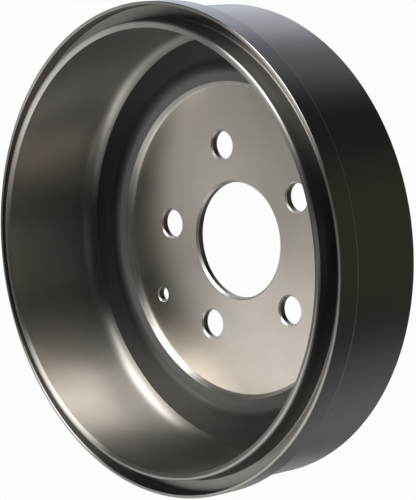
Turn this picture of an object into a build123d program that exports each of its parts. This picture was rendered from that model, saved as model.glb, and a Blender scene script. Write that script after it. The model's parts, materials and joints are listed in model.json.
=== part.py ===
"""Brake drum: one iron casting, turned on its shoe surface, its faces and its rims.

The drum lies on its wheel face with the open side up. Z is its axis, height 0 is the
wheel face, and the first stud hole is on +X.
"""

from build123d import *
import os

# ---------------------------------------------------------------------------
# Driving dimensions, in millimetres
# ---------------------------------------------------------------------------

# Wall and shoe surface
friction_diameter = 258.0      # bore that the shoes run on
wall = 10.7                    # iron outside the friction surface, just below the flange
wall_draft = 0.2               # radius that the cast wall loses on its way down to the web
back_chamfer = 0.8             # outer corner between the wall and the wheel side
runout_radius = 6.6            # fillet where the shoe surface meets the web
runout_step = 0.3              # height of the turned run-out over the cast web
runout_land = 0.35             # flat that the turning tool leaves inside the fillet

# Flange and lip at the open end
lip_height = 68.0              # wheel face to lip face
flange_overhang = 4.3          # flange outside the wall
flange_depth = 14.5            # lip face down to the flange's back edge
flange_edge_break = 0.4
lip_wall = 2.0                 # thin outer wall of the groove
lip_edge_break = 0.3
groove_depth = 8.0             # lip face down to the floor of the dust groove

# Inner ring, which carries the mouth of the shoe surface
ring_proud = 5.4               # ring face above the lip face
ring_wall = 4.1                # ring outside the friction surface
ring_straight = 3.9            # upright part of the ring's outer side, below its face
ring_draft = 1.2               # radius that the ring gains from there to the groove floor
ring_chamfer_width = 0.6
ring_chamfer_drop = 0.8
ring_face_width = 1.3
mouth_chamfer_drop = 0.9       # shallow turned bevel from the ring face in to the shoe surface

# Hat: the turned centre that sits on the hub
hat_thickness = 5.0
hub_face_diameter = 186.2      # turned face inside the hat
hub_bevel_width = 2.6
wheel_face_diameter = 200.0    # turned face that the wheel clamps on

# Cast web between the hat and the wall
web_height = 8.25              # wheel face up to the cast inner side of the web
web_setback = 3.4              # wheel face up to the cast outer side of the web
web_slope_width = 3.2          # run of the slope from the web's outer side to the wheel face
rib_height = 1.9               # raised ring round the hub face, above the web
rib_crest_inset = 5.2          # hub bevel to the rib's crest
rib_width = 12.0               # hub bevel to the rib's outer toe
rib_crest_rounding = 7.0

# Holes in the hat
bore_diameter = 69.0
bore_edge_break = 0.5
stud_count = 5
stud_circle_diameter = 114.3
stud_hole_diameter = 17.0
stud_hole_edge_break = 0.6
screw_circle_diameter = 152.7
screw_hole_diameter = 8.5
screw_hole_edge_break = 0.4
screw_hole_gap = 1.5           # stud spacings from the first stud hole to the screw hole
cutter_overrun = 1.0           # how far a hole's cutter passes both faces of the hat

# ---------------------------------------------------------------------------
# Radii and heights that follow from them
# ---------------------------------------------------------------------------

friction_radius = friction_diameter / 2
wall_radius = friction_radius + wall
back_radius = wall_radius - wall_draft
flange_radius = wall_radius + flange_overhang
groove_outer_radius = flange_radius - lip_wall
ring_radius = friction_radius + ring_wall
ring_face_outer_radius = ring_radius - ring_chamfer_width
ring_face_inner_radius = ring_face_outer_radius - ring_face_width

flange_back_height = lip_height - flange_depth
groove_floor_height = lip_height - groove_depth
ring_face_height = lip_height + ring_proud
mouth_height = ring_face_height - mouth_chamfer_drop
runout_height = web_height + runout_step
runout_inner_radius = friction_radius - runout_radius - runout_land

hub_face_radius = hub_face_diameter / 2
bevel_radius = hub_face_radius + hub_bevel_width
rib_crest_radius = bevel_radius + rib_crest_inset
rib_toe_radius = bevel_radius + rib_width
wheel_face_radius = wheel_face_diameter / 2
web_slope_radius = wheel_face_radius + web_slope_width


def turned(corners):
    """Solid of revolution about Z. Each corner is a radius, a height and a rounding."""
    points = [(radius, height) for radius, height, _ in corners]
    roundings = [rounding for _, _, rounding in corners]
    with BuildPart() as solid:
        with BuildSketch(Plane.XZ):
            with BuildLine():
                FilletPolyline(*points, radius=roundings, close=True)
            make_face()
        revolve(axis=Axis.Z)
    return solid.part


def inner_side():
    """From the hub face out over the rib and the web, and up the shoe surface."""
    return [
        (hub_face_radius, hat_thickness, 0),
        (bevel_radius, web_height, 0),
        (rib_crest_radius, web_height + rib_height, rib_crest_rounding),
        (rib_toe_radius, web_height, 0),
        (runout_inner_radius, web_height, 0),
        (runout_inner_radius, runout_height, 0),
        (friction_radius, runout_height, runout_radius),
        (friction_radius, mouth_height, 0),
    ]


def open_end():
    """Up the mouth's bevel, over the ring, down into the dust groove and up the lip."""
    return [
        (ring_face_inner_radius, ring_face_height, 0),
        (ring_face_outer_radius, ring_face_height, 0),
        (ring_radius, ring_face_height - ring_chamfer_drop, 0),
        (ring_radius, ring_face_height - ring_straight, 0),
        (ring_radius + ring_draft, groove_floor_height, 0),
        (groove_outer_radius, groove_floor_height, 0),
        (groove_outer_radius, lip_height - lip_edge_break, 0),
        (groove_outer_radius + lip_edge_break, lip_height, 0),
        (flange_radius - lip_edge_break, lip_height, 0),
        (flange_radius, lip_height - lip_edge_break, 0),
    ]


def outer_side():
    """Down the flange and the cast wall, and in over the wheel side to the wheel face."""
    return [
        (flange_radius, flange_back_height + flange_edge_break, 0),
        (flange_radius - flange_edge_break, flange_back_height, 0),
        (wall_radius, flange_back_height, 0),
        (back_radius, web_setback + back_chamfer, 0),
        (back_radius - back_chamfer, web_setback, 0),
        (web_slope_radius, web_setback, 0),
        (wheel_face_radius, 0, 0),
    ]


def hole_cutter(diameter, edge_break):
    """Cutter for a round hole through the hat, with both of its rims chamfered."""
    radius = diameter / 2
    bottom = -cutter_overrun
    top = hat_thickness + cutter_overrun
    return turned([
        (0, bottom, 0),
        (radius + edge_break, bottom, 0),
        (radius + edge_break, 0, 0),
        (radius, edge_break, 0),
        (radius, hat_thickness - edge_break, 0),
        (radius + edge_break, hat_thickness, 0),
        (radius + edge_break, top, 0),
        (0, top, 0),
    ])


def blank():
    """The turned casting before its holes. Its hat is solid to the axis."""
    hat_centre = [(0, 0, 0), (0, hat_thickness, 0)]
    return turned(hat_centre + inner_side() + open_end() + outer_side())


def brake_drum():
    """The finished drum."""
    stud_spacing = 360 / stud_count
    with BuildPart() as drum:
        add(blank())
        add(hole_cutter(bore_diameter, bore_edge_break), mode=Mode.SUBTRACT)
        with PolarLocations(stud_circle_diameter / 2, stud_count):
            add(hole_cutter(stud_hole_diameter, stud_hole_edge_break), mode=Mode.SUBTRACT)
        with PolarLocations(screw_circle_diameter / 2, 1, start_angle=screw_hole_gap * stud_spacing):
            add(hole_cutter(screw_hole_diameter, screw_hole_edge_break), mode=Mode.SUBTRACT)
    return drum.part


os.makedirs("parts", exist_ok=True)
export_step(brake_drum(), "parts/brake_drum.step")
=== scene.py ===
# %% [markdown]
# # A turned iron brake drum
# A brake drum is a shallow iron pot that bolts to a wheel hub. The brake's shoes press outwards on
# its inner wall. It is cast in one piece, and then a lathe cuts the shoe surface, the hub's face and
# the rims, while the outer wall keeps a satin black coating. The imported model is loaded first. It is
# never moved, and the main sizes below are read from it.

# %% Load the frame
import json
import math

import bmesh
import bpy
from mathutils import Matrix, Vector


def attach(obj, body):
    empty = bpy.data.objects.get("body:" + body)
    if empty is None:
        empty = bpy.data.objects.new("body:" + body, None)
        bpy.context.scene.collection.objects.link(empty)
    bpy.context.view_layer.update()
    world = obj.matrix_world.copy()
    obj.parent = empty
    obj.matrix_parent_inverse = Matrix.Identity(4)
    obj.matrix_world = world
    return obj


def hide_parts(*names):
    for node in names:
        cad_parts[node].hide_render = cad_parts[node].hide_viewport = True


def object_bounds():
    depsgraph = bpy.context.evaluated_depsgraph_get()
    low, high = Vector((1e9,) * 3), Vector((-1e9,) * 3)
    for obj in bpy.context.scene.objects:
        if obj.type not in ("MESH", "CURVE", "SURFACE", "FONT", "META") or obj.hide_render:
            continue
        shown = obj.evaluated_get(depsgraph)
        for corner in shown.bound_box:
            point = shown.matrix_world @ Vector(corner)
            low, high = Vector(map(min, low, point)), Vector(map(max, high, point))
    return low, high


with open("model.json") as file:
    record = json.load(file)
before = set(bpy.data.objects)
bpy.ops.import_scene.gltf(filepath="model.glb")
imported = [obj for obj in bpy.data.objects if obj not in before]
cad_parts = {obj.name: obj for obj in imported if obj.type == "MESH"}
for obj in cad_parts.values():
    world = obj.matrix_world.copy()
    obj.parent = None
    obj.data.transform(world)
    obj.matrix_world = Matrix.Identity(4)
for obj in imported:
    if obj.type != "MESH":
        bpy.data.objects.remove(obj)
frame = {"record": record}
cad_low, cad_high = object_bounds()
mounts = {mount["name"]: mount for mount in frame["record"]["mounts"]}
MM = 0.001
print("drum box in mm:", [round((high - low) / MM, 1) for low, high in zip(cad_low, cad_high)])

# %% [markdown]
# ## The camera
# A camera far away with a long lens draws the rims as near perfect ellipses, with little difference
# between the near side and the far side. It is placed by its direction and distance from the centre
# of the lip, aimed at a point beside that centre, and rolled on its side. The roll is large because
# the drum lies on its face here and is looked at as if it stood on its edge.

# %% Camera
LIP_HEIGHT = 68.0 * MM
VIEW_AZIMUTH = math.radians(-92.1)
VIEW_ELEVATION = math.radians(42.13)
VIEW_DISTANCE = 1.5748
VIEW_ROLL = math.radians(-98.2)
VIEW_TARGET = Vector((-4.6 * MM, -40.6 * MM, LIP_HEIGHT))
FOCAL_PIXELS = 2729.3
FRAME_WIDTH = 416
SENSOR_WIDTH = 36.0

toward_camera = Vector((
    math.cos(VIEW_ELEVATION) * math.cos(VIEW_AZIMUTH),
    math.cos(VIEW_ELEVATION) * math.sin(VIEW_AZIMUTH),
    math.sin(VIEW_ELEVATION),
))
camera_place = Vector((0, 0, LIP_HEIGHT)) + VIEW_DISTANCE * toward_camera
lens = bpy.data.cameras.new("camera")
lens.sensor_fit = "HORIZONTAL"
lens.sensor_width = SENSOR_WIDTH
lens.lens = FOCAL_PIXELS / FRAME_WIDTH * SENSOR_WIDTH
camera = bpy.data.objects.new("camera", lens)
aim = (VIEW_TARGET - camera_place).to_track_quat("-Z", "Y").to_matrix().to_4x4()
camera.matrix_world = Matrix.Translation(camera_place) @ aim @ Matrix.Rotation(VIEW_ROLL, 4, "Z")
bpy.context.scene.collection.objects.link(camera)
bpy.context.scene.camera = camera
print("camera at", [round(c, 3) for c in camera_place], "lens", round(lens.lens, 1), "mm")

# %% [markdown]
# ## The section
# A turned part is one outline spun about its axis, so the whole drum starts as a chain of corners.
# Each corner has a radius, a height and a rounding, in millimetres. One could also model a plain
# cylinder and bevel its edges, but a chain keeps every width next to its neighbours, as a maker's
# drawing does. Even a crisp edge is rounded by a tenth or two of a millimetre, because that thin
# curve is what catches the light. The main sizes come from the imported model.

# %% Sizes from the model
shoe_radius = mounts["shoe_surface"]["dims"]["r_mm"]
bore_radius = mounts["hub_bore"]["dims"]["r_mm"]
stud_circle_radius = mounts["stud_holes"]["dims"]["pcd_mm"] / 2
stud_radius = mounts["stud_holes"]["dims"]["hole_r_mm"]
stud_count = mounts["stud_holes"]["dims"]["count"]
screw_radius = mounts["screw_hole"]["dims"]["r_mm"]
screw_place = Vector(mounts["screw_hole"]["pos_m"]) / MM
flange_radius = cad_high[0] / MM
ring_top = cad_high[2] / MM
hat_top = screw_place.z
lip_top = LIP_HEIGHT / MM
print("shoe surface", 2 * shoe_radius, "lip", round(2 * flange_radius, 2), "height", round(ring_top, 2))

# %% [markdown]
# ## The inside
# The hub's flat face sits lowest. A short turned bevel climbs from it to the cast web, which rises
# first into a low rib and then runs flat. The tool that cuts the shoe surface leaves a tiny step
# where it runs out on the web, and a fillet leads from there up the wall.

# %% Corners of the inside
CRISP = 0.15
HUB_FLAT_END = 92.1
BEVEL_FOOT = 93.4
BEVEL_TOP = 94.8
WEB = 8.25
RIB_CREST = 100.7
RIB_RISE = 1.9
RIB_TOE = 107.7
RUNOUT_START = 122.05
RUNOUT = 8.55
RUNOUT_FILLET = 6.6
MOUTH = ring_top - 0.9
hub_side = [
    (HUB_FLAT_END, hat_top, 0),
    (BEVEL_FOOT, hat_top, 2.2),
    (BEVEL_TOP, WEB, 0.4),
    (RIB_CREST, WEB + RIB_RISE, 7.0),
    (RIB_TOE, WEB, 9.0),
    (RUNOUT_START, WEB, 0.1),
    (RUNOUT_START, RUNOUT, 0.08),
    (shoe_radius, RUNOUT, RUNOUT_FILLET),
    (shoe_radius, MOUTH, CRISP),
]
print("the inside rises", round(MOUTH - hat_top, 2), "mm from the hub's face to the mouth")

# %% [markdown]
# ## The open end
# The ring round the mouth stands proud of the lip, and a dust groove lies between the two. On a car
# the edge of a fixed plate reaches into that groove and keeps water out. The ring's outer side is
# soft, because a round-nosed tool cut it, and the thin lip has small clean chamfers.

# %% Corners of the ring, the groove and the lip
RING_FACE_IN = 131.2
RING_FACE_OUT = 132.5
RING_SIDE_RADIUS = 133.1
RING_STRAIGHT = 3.9
RING_FOOT = 134.3
GROOVE_CORNER = 0.8
GROOVE_FLOOR = lip_top - 8.0
LIP_INSIDE = flange_radius - 2.0
LIP_BREAK = 0.3
LIP_EDGE = 0.1
ring = [
    (RING_FACE_IN, ring_top, CRISP),
    (RING_FACE_OUT, ring_top, CRISP),
    (RING_SIDE_RADIUS, ring_top - 0.8, 0.5),
    (RING_SIDE_RADIUS, ring_top - RING_STRAIGHT, 3.0),
    (RING_FOOT, GROOVE_FLOOR, GROOVE_CORNER),
]
lip = [
    (LIP_INSIDE, GROOVE_FLOOR, GROOVE_CORNER),
    (LIP_INSIDE, lip_top - LIP_BREAK, LIP_EDGE),
    (LIP_INSIDE + LIP_BREAK, lip_top, LIP_EDGE),
    (flange_radius - LIP_BREAK, lip_top, LIP_EDGE),
    (flange_radius, lip_top - LIP_BREAK, LIP_EDGE),
]
print("dust groove:", round(LIP_INSIDE - RING_FOOT, 2), "mm wide and", lip_top - GROOVE_FLOOR, "deep")

# %% [markdown]
# ## The outside
# Below the flange the wall steps in and runs down to the wheel side, where only the raised face
# inside is turned. A narrow strip at the flange's back edge gets corners of its own. Handling has
# rubbed the coating off there, so it will have a finish of its own too.

# %% Corners of the outside
FLANGE_BACK = lip_top - 14.5
FLANGE_BREAK = 0.4
EDGE_STRIP = 0.9
CAST_CORNER = 0.8
WALL = flange_radius - 4.3
WALL_FOOT = WALL - 0.2
SETBACK = 3.4
WHEEL_FACE = 100.0
outside = [
    (flange_radius, FLANGE_BACK + EDGE_STRIP, 0),
    (flange_radius, FLANGE_BACK + FLANGE_BREAK, 0.2),
    (flange_radius - FLANGE_BREAK, FLANGE_BACK, 0.2),
    (WALL + CAST_CORNER, FLANGE_BACK, 0.3),
    (WALL, FLANGE_BACK - CAST_CORNER, 0.6),
    (WALL_FOOT, SETBACK + CAST_CORNER, 0.4),
    (WALL_FOOT - CAST_CORNER, SETBACK, 0.4),
    (WHEEL_FACE + 3.2, SETBACK, 1.5),
    (WHEEL_FACE, CAST_CORNER, 0.3),
    (WHEEL_FACE - CAST_CORNER, 0, 0),
]
section = hub_side + ring + lip + outside
print("the section has", len(section), "corners")

# %% [markdown]
# ## Rounding the corners
# A vertex bevel on a wire turns a corner into a true arc. The bevel wants the distance from the
# corner to where the arc starts, which is the rounding times the tangent of half the turn. Smooth
# shading blends the normals at each point, so an arc would bend the shading of the whole flat next
# to it. Each long side therefore gets a support point close to both of its ends, which holds the
# blend near the arc.

# %% A chain of corners as a wire
ARC_STEP = 12
LONG_SIDE = 2 * MM
SUPPORT = 0.25 * MM


def round_corner(mesh, vert, turn, rounding):
    """Bevels a vertex of a wire, where it turns by an angle, into an arc of that radius."""
    steps = max(2, math.ceil(math.degrees(turn) / ARC_STEP))
    bmesh.ops.bevel(
        mesh, geom=[vert], affect="VERTICES", offset_type="OFFSET",
        offset=rounding * math.tan(turn / 2), segments=steps, profile=0.5, material=-1,
    )


def support_side(edge):
    """Adds a point close to both ends of a long edge."""
    first, last = edge.verts
    cut, _ = bmesh.utils.edge_split(edge, first, SUPPORT / edge.calc_length())
    rest = max(edge, cut, key=lambda side: side.calc_length())
    bmesh.utils.edge_split(rest, last, SUPPORT / rest.calc_length())


def wire(mesh, corners):
    """A chain of edges in the XZ plane through the corners, in metres, with its arcs."""
    points = [Vector((radius * MM, 0, height * MM)) for radius, height, _ in corners]
    verts = [mesh.verts.new(point) for point in points]
    for start, end in zip(verts, verts[1:]):
        mesh.edges.new((start, end))
    for index in range(1, len(corners) - 1):
        rounding = corners[index][2] * MM
        if rounding > 0:
            before = points[index] - points[index - 1]
            after = points[index + 1] - points[index]
            round_corner(mesh, verts[index], before.angle(after), rounding)
    for edge in [side for side in mesh.edges if side.calc_length() > LONG_SIDE]:
        support_side(edge)


# %% [markdown]
# ## Spinning the skin
# One spin could turn the wire all the way round. Here the wire is spun through a sixteenth, and
# that piece is doubled four times, so that every sixteenth comes out the same. The doubles at the
# seams are merged at the end. The wire starts a little off the X axis, because points of two rims
# that lie exactly level can confuse a fill, and the flats are filled later.

# %% Spin a chain
DOUBLINGS = 4
SLICE_STEPS = 20
FIRST_ANGLE = math.radians(0.3)
MERGE = 0.001 * MM


def spun(corners, slice_steps, centre=(0, 0)):
    """A bmesh of the chain, spun through a slice and doubled until the turn is whole."""
    mesh = bmesh.new()
    wire(mesh, corners)
    start = Matrix.Rotation(FIRST_ANGLE, 3, "Z")
    bmesh.ops.rotate(mesh, verts=mesh.verts[:], cent=(0, 0, 0), matrix=start)
    angle = 2 * math.pi / 2 ** DOUBLINGS
    bmesh.ops.spin(
        mesh, geom=mesh.verts[:] + mesh.edges[:], cent=(0, 0, 0), axis=(0, 0, 1),
        angle=angle, steps=slice_steps, use_merge=False,
    )
    for _ in range(DOUBLINGS):
        copy = bmesh.ops.duplicate(mesh, geom=mesh.verts[:] + mesh.edges[:] + mesh.faces[:])
        copied = [piece for piece in copy["geom"] if isinstance(piece, bmesh.types.BMVert)]
        bmesh.ops.rotate(mesh, verts=copied, cent=(0, 0, 0), matrix=Matrix.Rotation(angle, 3, "Z"))
        angle *= 2
    bmesh.ops.remove_doubles(mesh, verts=mesh.verts[:], dist=MERGE)
    bmesh.ops.translate(mesh, verts=mesh.verts[:], vec=(centre[0] * MM, centre[1] * MM, 0))
    return mesh


drum_mesh = spun(section, SLICE_STEPS)
print("skin:", len(drum_mesh.faces), "faces in", SLICE_STEPS * 2 ** DOUBLINGS, "steps round")

# %% [markdown]
# ## The holes
# Five studs and the hub's centring collar pass through the hat, and one small screw holds the drum
# on its hub while the wheel is off. A Boolean would cut them, but it leaves long thin triangles.
# Here each hole is a short chain of its own, with a bright chamfer at the upper rim that the lathe
# or the drill leaves, spun about the hole's axis.

# %% Hole walls
BORE_RIM = 1.3
BORE_BACK_RIM = 0.5
STUD_RIM = 0.9
STUD_BACK_RIM = 0.6
SCREW_RIM = 0.6
SCREW_BACK_RIM = 0.4
RIM_EDGE = 0.1


def hole_wall(radius, rim, back_rim):
    """Corners of a hole through the hat, from its upper rim down to its back rim."""
    return [
        (radius + rim, hat_top, 0),
        (radius, hat_top - rim, RIM_EDGE),
        (radius, back_rim, RIM_EDGE),
        (radius + back_rim, 0, 0),
    ]


def add_hole(target, wall, slice_steps, centre=(0, 0)):
    """Spins a hole's wall about the hole's centre and joins it to the drum's mesh."""
    scratch = bpy.data.meshes.new("hole")
    hole = spun(wall, slice_steps, centre)
    hole.to_mesh(scratch)
    hole.free()
    target.from_mesh(scratch)
    bpy.data.meshes.remove(scratch)


bore_wall = hole_wall(bore_radius, BORE_RIM, BORE_BACK_RIM)
stud_wall = hole_wall(stud_radius, STUD_RIM, STUD_BACK_RIM)
screw_wall = hole_wall(screw_radius, SCREW_RIM, SCREW_BACK_RIM)
add_hole(drum_mesh, bore_wall, 16)
for number in range(stud_count):
    angle = 2 * math.pi * number / stud_count
    stud_centre = (stud_circle_radius * math.cos(angle), stud_circle_radius * math.sin(angle))
    add_hole(drum_mesh, stud_wall, 6, stud_centre)
add_hole(drum_mesh, screw_wall, 4, (screw_place.x, screw_place.y))
print("with", stud_count + 2, "holes:", len(drum_mesh.faces), "faces")

# %% [markdown]
# ## Closing the skin
# The two flats of the hat are still missing. Each is filled between all the round edges that lie
# open at its height. After that no edge may be open, and the normals are worked out again, because
# a spin can turn its faces inwards.


# %% Fill the flats
def fill_flat(mesh, height, up):
    """Fills the flat at a height between all the open round edges that lie on it."""
    rims = [
        edge for edge in mesh.edges
        if edge.is_boundary and all(abs(vert.co.z - height * MM) < MERGE for vert in edge.verts)
    ]
    made = bmesh.ops.triangle_fill(mesh, edges=rims, use_beauty=True, normal=(0, 0, up))
    return [piece for piece in made["geom"] if isinstance(piece, bmesh.types.BMFace)]


hub_flat = fill_flat(drum_mesh, hat_top, 1)
wheel_flat = fill_flat(drum_mesh, 0, -1)
bmesh.ops.recalc_face_normals(drum_mesh, faces=drum_mesh.faces[:])
open_edges = [edge for edge in drum_mesh.edges if not edge.is_manifold]
print("flats:", len(hub_flat), "and", len(wheel_flat), "faces, open edges left:", len(open_edges))

# %% [markdown]
# ## Smooth shading
# Every face is shaded smooth, so that the turned walls look round. An edge that turns by more than
# a set angle is marked sharp, which keeps the chamfers without a rounding crisp.

# %% Smooth faces and sharp edges
SHARP_TURN = math.radians(20)
for face in drum_mesh.faces:
    face.smooth = True
for edge in drum_mesh.edges:
    edge.smooth = edge.calc_face_angle(0) < SHARP_TURN
print("sharp edges:", sum(not edge.smooth for edge in drum_mesh.edges))

# %% [markdown]
# ## Shader maths
# A surface that a lathe has cut varies with its distance from the axis and its height, and not
# with its place in X or Y. Such patterns are easy to write as expressions and hard to read as a web
# of nodes, so the class below wraps a socket, and arithmetic on it adds the Math nodes.


# %% Expressions on sockets
class Value:
    """A number or a colour in a node tree. Arithmetic on it adds Math nodes."""

    def __init__(self, tree, socket):
        self.tree = tree
        self.socket = socket

    def math(self, operation, *others):
        inputs = {0: self}
        inputs.update({index + 1: other for index, other in enumerate(others)})
        return self.tree.node("ShaderNodeMath", {"operation": operation}, inputs)

    def __add__(self, other):
        return self.math("ADD", other)

    __radd__ = __add__

    def __mul__(self, other):
        return self.math("MULTIPLY", other)

    __rmul__ = __mul__

    def __sub__(self, other):
        return self.math("SUBTRACT", other)

    def __truediv__(self, other):
        return self.math("DIVIDE", other)

    def band(self, start, end):
        """0 below start and 1 above end, with a smooth step between. Start may be the larger."""
        low, high, first, last = (start, end, 0, 1) if start < end else (end, start, 1, 0)
        return self.tree.node(
            "ShaderNodeMapRange", {"interpolation_type": "SMOOTHSTEP"},
            {0: self, 1: low, 2: high, 3: first, 4: last},
        )


# %% [markdown]
# ## A finish
# Each kind of surface on the drum is a material with the same few recipes: a noise, a blend of two
# colours, a bump. The class below holds them once. Its places are read from Object coordinates in
# millimetres, so that a pattern stays on the iron wherever the drum goes.


# %% A material and its recipes
class Finish:
    """A material and the few node recipes that the drum's finishes share."""

    def __init__(self, name):
        self.material = bpy.data.materials.new(name)
        self.material.use_nodes = True
        self.nodes = self.material.node_tree.nodes
        self.links = self.material.node_tree.links
        self.shader = self.nodes["Principled BSDF"]
        self.place = self.node("ShaderNodeTexCoord", {}, {}, "Object")
        split = self.nodes.new("ShaderNodeSeparateXYZ")
        self.links.new(self.place.socket, split.inputs[0])
        self.x, self.y, self.z = (Value(self, output) / MM for output in split.outputs)
        self.radius = (self.x * self.x + self.y * self.y).math("SQRT")

    def node(self, kind, settings, inputs, output=0):
        """Adds a node, with its settings first and then the values or links of its sockets."""
        made = self.nodes.new(kind)
        for key, value in settings.items():
            setattr(made, key, value)
        for key, value in inputs.items():
            if isinstance(value, Value):
                self.links.new(value.socket, made.inputs[key])
            else:
                made.inputs[key].default_value = value
        return Value(self, made.outputs[output])

    def noise(self, where, scale, detail=2.0, roughness=0.5):
        """Noise of about 0 to 1, with one blob for each 1/scale of the place that it is given."""
        return self.node(
            "ShaderNodeTexNoise", {},
            {"Vector": where, "Scale": scale, "Detail": detail, "Roughness": roughness},
        )

    def blend(self, factor, first, second):
        """A colour that goes from the first to the second as the factor goes from 0 to 1."""
        return self.node(
            "ShaderNodeMix", {"data_type": "RGBA"}, {0: factor, 6: first, 7: second}, 2,
        )

    def bump(self, height, distance):
        """Feeds a height, which reaches a distance in millimetres, to the shader's normal."""
        normal = self.node("ShaderNodeBump", {}, {"Distance": distance * MM, "Height": height})
        self.links.new(normal.socket, self.shader.inputs["Normal"])

    def mix(self, factor, first, second):
        """A shader that goes from the first to the second as the factor goes from 0 to 1."""
        return self.node("ShaderNodeMixShader", {}, {0: factor, 1: first, 2: second})

    def set(self, **sockets):
        """Sets or links the shader's sockets, such as Base_Color or Roughness."""
        for name, value in sockets.items():
            socket = self.shader.inputs[name.replace("_", " ")]
            if isinstance(value, Value):
                self.links.new(value.socket, socket)
            else:
                socket.default_value = value


def grey(level, warm=0.0):
    """A linear grey, a little warmer where asked."""
    return (level * (1 + warm), level, level * (1 - 1.3 * warm), 1)


# %% [markdown]
# ## Turned iron
# A lathe leaves fine rings round the axis. Each ring is a tiny ridge, so a highlight stays narrow
# along the rings and is drawn out across them, and the drum shows bright columns that run up its
# wall. Real ridges would need millions of faces. An anisotropic shader gives the same streaks, and
# its rotation of a quarter turns them across the rings. Where the tool cut finely, as on the hub's
# face, the streak is weaker. The share that the iron mirrors falls from the hub's bevel, which is
# paler than the face, partly as a painted highlight, to the groove and the side of the ring, which
# are darker as painted shade in the dust groove.

# %% Turned iron
ACROSS_RINGS = 0.25
RING_PITCH = 0.35
PATCH_SCALE = 60.0
PATCH_DEPTH = 0.08
RING_SHINE = 0.04
RING_HEIGHT = 0.0002


def turned_iron(name, level, warm, roughness, streak):
    """Iron cut on a lathe. Its fine rings spread a highlight across themselves."""
    iron = Finish(name)
    along_section = iron.node("ShaderNodeCombineXYZ", {}, {0: iron.radius + iron.z})
    rings = iron.noise(along_section, 1 / RING_PITCH, 3.0, 0.6)
    patches = iron.noise(iron.place, PATCH_SCALE)
    dull = grey(level * (1 - PATCH_DEPTH), warm)
    bright = grey(level * (1 + PATCH_DEPTH), warm)
    iron.set(
        Base_Color=iron.blend(patches, dull, bright),
        Roughness=roughness + (rings - 0.5) * RING_SHINE,
        Metallic=1.0,
        Anisotropic=streak,
        Anisotropic_Rotation=ACROSS_RINGS,
    )
    iron.bump(rings, RING_HEIGHT)
    return iron


hub_face = turned_iron("hub_face", level=0.75, warm=0.08, roughness=0.25, streak=0.6)
# The bevel's iron is paler than the face's, partly a painted highlight on the bevel.
hub_bevel = turned_iron("hub_bevel", level=0.85, warm=0.04, roughness=0.46, streak=1.0)
shoe_surface = turned_iron("shoe_surface", level=0.42, warm=0.06, roughness=0.34, streak=1.0)
rims = turned_iron("turned_rims", level=0.6, warm=0.05, roughness=0.32, streak=1.0)
# The groove and the ring's side are darker iron, which is painted shade in the dust groove.
groove = turned_iron("dust_groove", level=0.34, warm=0.06, roughness=0.34, streak=0.9)
ring_side = turned_iron("ring_side", level=0.18, warm=0.06, roughness=0.34, streak=0.9)
print("turned iron with", len(hub_face.nodes), "nodes in each finish")

# %% [markdown]
# ## Hole walls and worn edges
# The walls of the holes are dark iron, which is painted shade inside the holes, and the countersink
# at the top of each hole gets a bright rim. The strip at the back edge of the flange is bare because
# the coating has worn off it. The rings of a small hole run round its own axis and not the drum's,
# and a worn strip has none, so these finishes have a weak streak or none. The bore shares them,
# though a lathe cuts it.

# %% Hole walls and worn edges
# The dark iron of the hole walls is painted shade inside the holes.
shaded_hole_walls = turned_iron("drilled_holes", level=0.08, warm=0.06, roughness=0.3, streak=0.3)
hole_rims = turned_iron("hole_rims", level=0.9, warm=0.04, roughness=0.4, streak=0.0)
worn_edge = turned_iron("bare_edge", level=0.16, warm=0.02, roughness=0.4, streak=0.0)
print("small finishes:", [finish.material.name for finish in (shaded_hole_walls, hole_rims, worn_edge)])

# %% [markdown]
# ## Cast iron
# The web between the hub's face and the wall is never cut. It keeps the grain of the sand that it
# was cast in, and is dark and rough. Its rib stands out, and its colour is paler on the rib's crest
# and inner slope, a painted highlight on the rib, which blends with the distance from the axis.

# %% Cast iron
SAND_SCALE = 700.0
SAND_DEPTH = 0.05
# The paler colour from the rib's crest inwards is a painted highlight on the rib.
RIB_HIGHLIGHT_FROM = 106.5
RIB_HIGHLIGHT_FULL = 101.0
cast_web = Finish("cast_web")
sand = cast_web.noise(cast_web.place, SAND_SCALE, 4.0, 0.7)
painted_rib_highlight = cast_web.radius.band(RIB_HIGHLIGHT_FROM, RIB_HIGHLIGHT_FULL)
cast_web.set(
    Base_Color=cast_web.blend(painted_rib_highlight, grey(0.11, 0.04), grey(0.2, 0.04)),
    Roughness=0.5,
    Metallic=1.0,
)
cast_web.bump(sand, SAND_DEPTH)
print("cast web:", len(cast_web.nodes), "nodes")

# %% [markdown]
# ## The coating
# The outer wall is dipped in a satin black coating against rust. It is a plain black plastic as the
# shader sees it, not a metal: what one sees of it is the four per cent that its skin mirrors, and
# that share grows towards the edge of the drum without any help.

# %% Satin coating
coating = Finish("outer_coating")
orange_peel = coating.noise(coating.place, 1500.0, 3.0)
coating.set(Base_Color=grey(0.005), Roughness=0.25)
coating.bump(orange_peel, 0.002)
print("coating:", len(coating.nodes), "nodes")

# %% [markdown]
# ## Which finish each face gets
# Painting the finishes on by hand would be lost with every change of the section. A face's middle
# has a radius and a height, and these two say where on the section it lies. The rules below are
# tried from the axis outwards, and what no rule claims is coated.

# %% Faces and finishes
FINISHES = [
    hub_face, hub_bevel, cast_web, shoe_surface, rims, coating, groove, ring_side, shaded_hole_walls,
    hole_rims, worn_edge,
]
HOLES_END = 90.0
SLACK = 0.1
RIM_DEPTH = 1.0
HUB_FILLED = HUB_FLAT_END - 2 * SLACK
RING_SOFT_TOP = ring_top - 1.0
RING_SIDE_END = GROOVE_FLOOR + 0.5
SHOE_START = RUNOUT - 4 * SLACK
WORN_IN = flange_radius - FLANGE_BREAK - SLACK / 2


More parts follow.
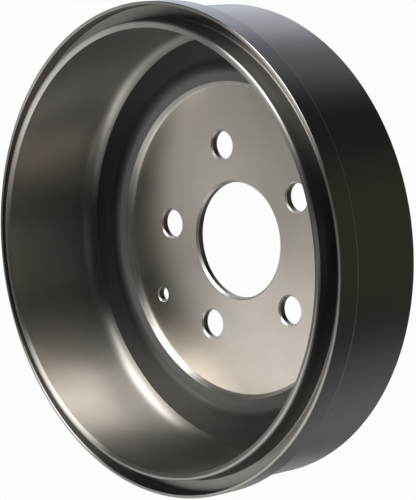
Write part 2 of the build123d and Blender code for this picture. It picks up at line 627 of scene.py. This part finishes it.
def finish_of(radius, height):
    """The finish at a radius and height on the skin, in millimetres."""
    if height < MERGE / MM:
        return rims
    if radius < HOLES_END and height < hat_top - MERGE / MM:
        return hole_rims if height > hat_top - RIM_DEPTH else shaded_hole_walls
    if radius < HUB_FILLED:
        return hub_face
    if radius < BEVEL_TOP - SLACK:
        return hub_bevel
    if radius < RUNOUT_START - SLACK / 2 and height > hat_top:
        return cast_web
    if radius < shoe_radius + SLACK and SHOE_START < height < MOUTH + SLACK:
        return shoe_surface
    if radius < RING_FOOT + SLACK and RING_SIDE_END < height < RING_SOFT_TOP:
        return ring_side
    if radius < LIP_INSIDE + SLACK and GROOVE_FLOOR - SLACK < height < lip_top - LIP_BREAK:
        return groove
    if radius < flange_radius - SLACK and height > GROOVE_FLOOR:
        return rims
    if radius > WORN_IN and height < FLANGE_BACK + EDGE_STRIP:
        return worn_edge
    return coating


for face in drum_mesh.faces:
    middle = face.calc_center_median() / MM
    face.material_index = FINISHES.index(finish_of(math.hypot(middle.x, middle.y), middle.z))
for index, finish in enumerate(FINISHES):
    print(finish.material.name, sum(face.material_index == index for face in drum_mesh.faces))

# %% [markdown]
# ## The drum as a piece
# The finished mesh becomes one object at the origin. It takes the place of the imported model's one
# body, which is how the two stay the same part.

# %% The drum as a piece
mesh = bpy.data.meshes.new("drum_casting")
drum_mesh.to_mesh(mesh)
drum_mesh.free()
for finish in FINISHES:
    mesh.materials.append(finish.material)
drum = bpy.data.objects.new("drum_casting", mesh)
bpy.context.scene.collection.objects.link(drum)
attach(drum, "root")
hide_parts("brake_drum")
print("drum:", sum(len(face.vertices) - 2 for face in mesh.polygons), "triangles")

# %% [markdown]
# ## The floor
# The drum lies on a wide white floor. To the camera the floor is almost all glow, so that it is as
# white as the paper of a catalogue, and the small rest is lit and keeps the drum's shadow. In a
# mirror it is mostly clear: the black coating would otherwise show nothing but white, where a real
# one shows the dim room round it.

# %% Floor
FLOOR_RADIUS = 6.0
floor_mesh = bmesh.new()
bmesh.ops.create_circle(floor_mesh, cap_ends=True, segments=64, radius=FLOOR_RADIUS)
floor_data = bpy.data.meshes.new("floor")
floor_mesh.to_mesh(floor_data)
floor_mesh.free()
floor = bpy.data.objects.new("floor", floor_data)
bpy.context.scene.collection.objects.link(floor)
print("floor:", 2 * FLOOR_RADIUS, "m wide")

# %% White paper
GLOW = 0.97
SHEEN = 0.1
paper = Finish("paper")
floor_data.materials.append(paper.material)
paper.set(Base_Color=(0.8, 0.8, 0.8, 1), Roughness=0.9)
seen = paper.node("ShaderNodeLightPath", {}, {}, "Is Camera Ray")
mirrored = paper.node("ShaderNodeLightPath", {}, {}, "Is Glossy Ray")
through = paper.node("ShaderNodeLightPath", {}, {}, "Is Transmission Ray")
lit = Value(paper, paper.shader.outputs[0])
glow = paper.node("ShaderNodeEmission", {}, {"Color": (1, 1, 1, 1), "Strength": 1.0})
clear = paper.node("ShaderNodeBsdfTransparent", {}, {})
pale = paper.mix((seen + mirrored + through) * GLOW, lit, glow)
whole = paper.mix(mirrored * (1 - SHEEN), pale, clear)
paper.links.new(whole.socket, paper.nodes["Material Output"].inputs[0])
print("paper:", round(100 * GLOW), "per cent glow")

# %% [markdown]
# ## The light
# Iron has next to no colour of its own. What it shows is the room, so the lamps are the look. They
# are soft round panels in the world's node tree: a large key lamp on one side, a fill on the other
# that the hub's face mirrors, and dim panels below that the coating mirrors, two of them a little
# blue and one olive. Lamp objects would do as well. A panel of the world is endlessly far away, so
# it lights every point of the drum from the same direction.


# %% A sky of panels
class Sky(Finish):
    """The world's node tree, with the node recipes of a finish."""

    def __init__(self, made):
        self.nodes = made.node_tree.nodes
        self.links = made.node_tree.links
        self.nodes.clear()
        self.direction = self.node("ShaderNodeTexCoord", {}, {}, "Generated")

    def panel(self, azimuth, elevation, half_width, strength, core=0):
        """A round panel of light in a direction, in degrees, that fades from its core outwards."""
        turn = math.radians(azimuth)
        rise = math.radians(elevation)
        centre = (math.cos(rise) * math.cos(turn), math.cos(rise) * math.sin(turn), math.sin(rise))
        facing = self.node(
            "ShaderNodeVectorMath", {"operation": "DOT_PRODUCT"}, {0: self.direction, 1: centre}, 1,
        )
        edge = math.cos(math.radians(half_width))
        full = math.cos(math.radians(core))
        return facing.band(edge, full) * strength

    def light(self, colour, strength):
        """A background of one colour. Its strength may be a number or the sum of panels."""
        return self.node("ShaderNodeBackground", {}, {"Color": colour, "Strength": strength})

    def together(self, first, second):
        """The sum of two backgrounds."""
        return self.node("ShaderNodeAddShader", {}, {0: first, 1: second})


world = bpy.data.worlds.new("studio")
world.use_nodes = True
bpy.context.scene.world = world
sky = Sky(world)

# %% Lamps above the drum
ROOM = 0.02
key_high = sky.panel(azimuth=-10, elevation=50, half_width=26, strength=3.7, core=14)
key_low = sky.panel(azimuth=-20, elevation=24, half_width=24, strength=3.6, core=8)
fill_high = sky.panel(azimuth=104, elevation=48, half_width=15, strength=1.2)
fill_low = sky.panel(azimuth=102, elevation=34, half_width=14, strength=0.8)
fill_wide = sky.panel(azimuth=138, elevation=38, half_width=18, strength=0.9)
back_low = sky.panel(azimuth=167, elevation=45, half_width=20, strength=1.5)
back_high = sky.panel(azimuth=158, elevation=62, half_width=18, strength=1.2)
rear = sky.panel(azimuth=-100, elevation=10, half_width=23, strength=0.4)
above = key_high + key_low + fill_high + fill_low + fill_wide + back_low + back_high + rear
print("lamps above use", len(sky.nodes), "nodes")

# %% Dim panels below, and the whole sky
PLAIN = (1, 1, 1, 1)
COOL = (0.93, 0.98, 1.07, 1)
OLIVE = (1.0, 0.95, 0.5, 1)
plain_steep = sky.panel(azimuth=175, elevation=-55, half_width=30, strength=0.8)
plain_flat = sky.panel(azimuth=115, elevation=-30, half_width=30, strength=0.6)
cool_bright = sky.panel(azimuth=45, elevation=-40, half_width=28, strength=1.6)
cool_dim = sky.panel(azimuth=5, elevation=-45, half_width=25, strength=0.9)
olive = sky.panel(azimuth=-100, elevation=-50, half_width=35, strength=0.35)
plain = sky.light(PLAIN, above + plain_steep + plain_flat + ROOM)
tinted = sky.together(sky.light(COOL, cool_bright + cool_dim), sky.light(OLIVE, olive))
lamps = sky.together(plain, tinted)
white = sky.light(PLAIN, 1.0)
seen = sky.node("ShaderNodeLightPath", {}, {}, "Is Camera Ray")
through = sky.node("ShaderNodeLightPath", {}, {}, "Is Transmission Ray")
whole = sky.mix(seen + through, lamps, white)
sky.links.new(whole.socket, sky.nodes.new("ShaderNodeOutputWorld").inputs[0])
print("the whole sky has", len(sky.nodes), "nodes")

# %% [markdown]
# ## Colours
# The Standard view shows each colour as it is written.

# %% View
bpy.context.scene.view_settings.view_transform = "Standard"
